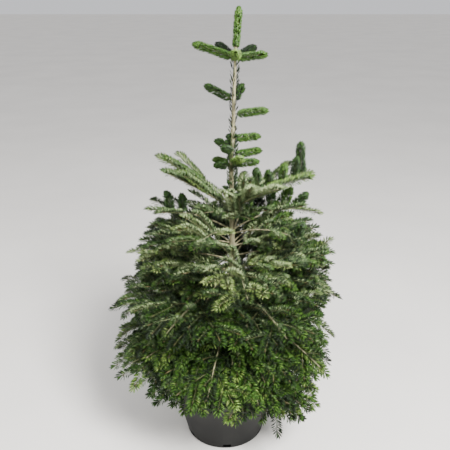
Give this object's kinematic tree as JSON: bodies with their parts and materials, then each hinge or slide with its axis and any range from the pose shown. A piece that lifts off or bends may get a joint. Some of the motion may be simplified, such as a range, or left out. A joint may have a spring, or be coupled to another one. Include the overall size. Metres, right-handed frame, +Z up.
{
  "type": "potted nordmann fir",
  "caption": "Young Nordmann fir in a round nursery pot, open at the top and bushy below, on its flat underside.",
  "frame": {"origin": "middle of the pot's flat underside", "axes": "+Z up along the trunk, -Y towards the side the picture shows"},
  "size_m": [0.7012, 0.7328, 1.364],
  "materials": {
    "pot_plastic": "matte",
    "soil": "matte",
    "bark": "matte",
    "needles": "matte",
    "young_needles": "matte"
  },
  "bodies": {
    "root": {"pot": "pot_plastic", "soil": "soil", "trunk": "bark", "leader": "young_needles", "top_shoot_1": "young_needles", "top_shoot_2": "young_needles", "top_shoot_3": "young_needles", "top_shoot_4": "young_needles", "top_shoot_5": "young_needles", "stem_shoot_1": "young_needles", "stem_shoot_2": "young_needles", "stem_shoot_3": "young_needles", "stem_shoot_4": "young_needles", "crowded_shoots": "young_needles", "bough_2a": "bark", "bough_2b": "bark", "bough_2c": "bark", "bough_2d": "bark", "bough_2e": "bark", "bough_3a": "bark", "bough_3b": "bark", "bough_3c": "bark", "bough_3d": "bark", "bough_3e": "bark", "foliage_2a": "young_needles", "foliage_2b": "young_needles", "foliage_2c": "young_needles", "foliage_2d": "young_needles", "foliage_2e": "young_needles", "foliage_3a": "needles", "foliage_3b": "needles", "foliage_3c": "needles", "foliage_3d": "needles", "foliage_3e": "needles", "foliage_4a": "needles", "foliage_4b": "needles", "foliage_4c": "needles", "foliage_4d": "needles", "foliage_4e": "needles", "foliage_5a": "needles", "foliage_5b": "needles", "foliage_5c": "needles", "foliage_5d": "needles", "foliage_5e": "needles", "foliage_5f": "needles", "foliage_6a": "needles", "foliage_6b": "needles", "foliage_6c": "needles", "foliage_6d": "needles", "foliage_6e": "needles", "foliage_6f": "needles", "foliage_7a": "needles", "foliage_7b": "needles", "foliage_7c": "needles", "foliage_7d": "needles", "foliage_7e": "needles", "foliage_7f": "needles", "foliage_7g": "needles"}
  },
  "joints": []
}
